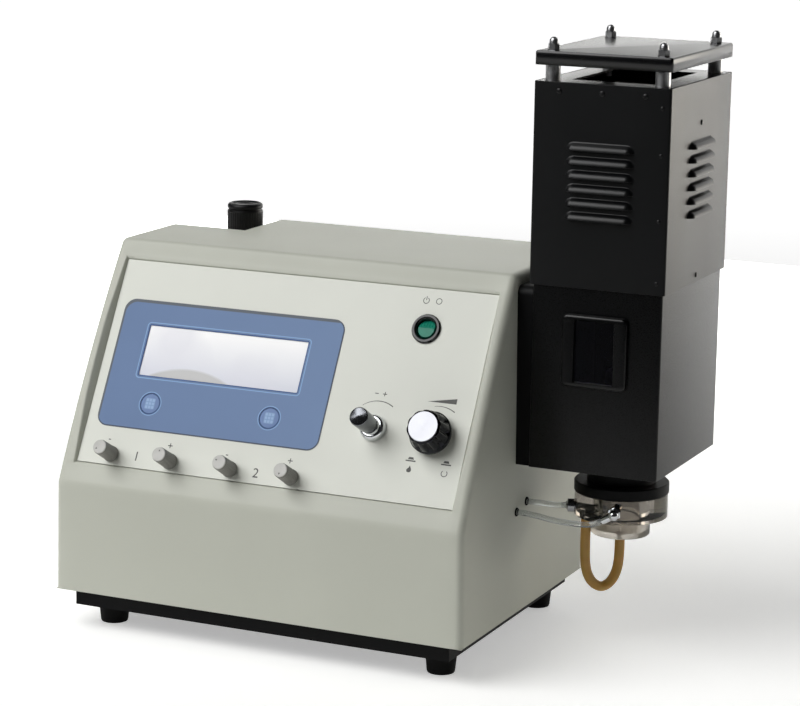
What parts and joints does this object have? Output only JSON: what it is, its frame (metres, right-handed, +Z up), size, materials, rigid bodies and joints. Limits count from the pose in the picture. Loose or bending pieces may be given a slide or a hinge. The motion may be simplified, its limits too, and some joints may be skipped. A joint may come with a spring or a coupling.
{
  "type": "flame photometer",
  "caption": "Bench flame photometer: light grey sloped cabinet with display and knobs, and a black louvred flame tower over a clear mixing chamber and drain loop.",
  "frame": {"origin": "on the bench, under the middle of the box round the whole instrument", "axes": "+Z up, the control panel faces -Y, the flame tower stands at +X"},
  "size_m": [0.4164, 0.2518, 0.4242],
  "materials": {
    "enclosure_plastic": "matt, fine texture",
    "grey_steel": "satin",
    "black_steel": "semi-matt powder coat",
    "bare_steel": "dull",
    "panel_paint": "satin",
    "blue_film": "matt printed film",
    "clear_acrylic": "clear",
    "dark_glass": "dark tinted",
    "display_metal": "satin",
    "circuit_board": "satin",
    "black_plastic": "matt",
    "black_gloss": "gloss",
    "green_lens": "translucent gloss",
    "grey_plastic": "satin",
    "brass": "machined",
    "chrome": "polished",
    "dark_chrome": "polished, dark",
    "grey_metal": "anodised satin",
    "turned_aluminium": "turned",
    "aluminium": "cast",
    "black_aluminium": "black anodised",
    "zinc_steel": "satin",
    "stainless": "turned",
    "rubber": "matt",
    "clear_tube": "translucent",
    "latex": "translucent amber",
    "filter_glass": "coloured",
    "iron_core": "varnished"
  },
  "bodies": {
    "cabinet": {"housing_shell": "enclosure_plastic", "rear_cover": "grey_steel", "base_tray": "black_steel", "rubber_feet": "rubber", "cabinet_screws": "zinc_steel", "control_panel": "panel_paint", "membrane_overlay": "blue_film", "display_window": "clear_acrylic", "display_module": "display_metal", "display_board": "circuit_board", "range_pots": "black_plastic", "power_switch_body": "black_gloss", "fine_valve_body": "brass", "fine_valve_collar": "chrome", "gas_valve_body": "brass", "regulator_body": "aluminium", "regulator_bowl": "clear_acrylic", "regulator_bracket": "zinc_steel", "optics_duct": "black_steel", "flame_chamber": "black_steel", "window_frame": "black_steel", "window_glass": "dark_glass", "chimney_shell": "black_steel", "chimney_top_frame": "black_steel", "plate_pillars": "zinc_steel", "heat_plate": "bare_steel", "acorn_nuts": "zinc_steel", "tower_rivets": "black_steel", "burner_head": "stainless", "mixing_flange": "black_plastic", "mixing_chamber": "clear_acrylic", "drain_cup": "clear_acrylic", "nebuliser": "stainless", "gas_elbow": "chrome", "tube_grommets": "rubber", "air_tube": "clear_tube", "gas_tube": "clear_tube", "drain_tube": "latex", "optics_block": "black_aluminium", "optical_filters": "filter_glass", "power_supply": "iron_core", "power_inlet": "black_plastic", "hose_spigots": "brass"},
    "range_1": {"range_knob_1": "grey_plastic", "range_shaft_1": "zinc_steel"},
    "range_2": {"range_knob_2": "grey_plastic", "range_shaft_2": "zinc_steel"},
    "range_3": {"range_knob_3": "grey_plastic", "range_shaft_3": "zinc_steel"},
    "range_4": {"range_knob_4": "grey_plastic", "range_shaft_4": "zinc_steel"},
    "key_left": {"key_left": "blue_film"},
    "key_right": {"key_right": "blue_film"},
    "power_rocker": {"power_rocker": "green_lens"},
    "fine_valve": {"fine_valve_stem": "zinc_steel", "fine_valve_knob": "grey_metal"},
    "gas_stem": {"gas_valve_stem": "zinc_steel"},
    "gas_knob": {"gas_valve_knob": "dark_chrome", "gas_knob_cap": "turned_aluminium"},
    "regulator_knob": {"regulator_knob": "black_plastic"}
  },
  "joints": [
    {"name": "range_1_turn", "type": "hinge", "parent": "cabinet", "child": "range_1", "pos_m": [-0.1698, -0.10686, 0.12602], "axis": [0, -0.8751, 0.484], "range_deg": [-150, 150]},
    {"name": "range_2_turn", "type": "hinge", "parent": "cabinet", "child": "range_2", "pos_m": [-0.1234, -0.10686, 0.12602], "axis": [0, -0.8751, 0.484], "range_deg": [-150, 150]},
    {"name": "range_3_turn", "type": "hinge", "parent": "cabinet", "child": "range_3", "pos_m": [-0.077, -0.10686, 0.12602], "axis": [0, -0.8751, 0.484], "range_deg": [-150, 150]},
    {"name": "range_4_turn", "type": "hinge", "parent": "cabinet", "child": "range_4", "pos_m": [-0.0306, -0.10686, 0.12602], "axis": [0, -0.8751, 0.484], "range_deg": [-150, 150]},
    {"name": "key_left_press", "type": "slide", "parent": "cabinet", "child": "key_left", "axis": [0, 0.8751, -0.484], "range_m": [0, 0.0005], "stiffness_N_per_m": 1500},
    {"name": "key_right_press", "type": "slide", "parent": "cabinet", "child": "key_right", "axis": [0, 0.8751, -0.484], "range_m": [0, 0.0005], "stiffness_N_per_m": 1500},
    {"name": "power_rocker_tilt", "type": "hinge", "parent": "cabinet", "child": "power_rocker", "pos_m": [0.0425, -0.04911, 0.22424], "axis": [1, 0, 0], "range_deg": [0, 20]},
    {"name": "fine_valve_turn", "type": "hinge", "parent": "cabinet", "child": "fine_valve", "pos_m": [0.0208, -0.08707, 0.16181], "axis": [0, -0.8751, 0.484], "range_deg": [-1080, 0]},
    {"name": "gas_push", "type": "slide", "parent": "cabinet", "child": "gas_stem", "axis": [0, 0.8751, -0.484], "range_m": [0, 0.0035], "stiffness_N_per_m": 900},
    {"name": "gas_turn", "type": "hinge", "parent": "gas_stem", "child": "gas_knob", "pos_m": [0.065, -0.08707, 0.16181], "axis": [0, -0.8751, 0.484], "range_deg": [-270, 0]},
    {"name": "regulator_turn", "type": "hinge", "parent": "cabinet", "child": "regulator_knob", "pos_m": [-0.1657, 0.08291, 0.265], "axis": [0, 0, 1], "range_deg": [-720, 720]}
  ]
}
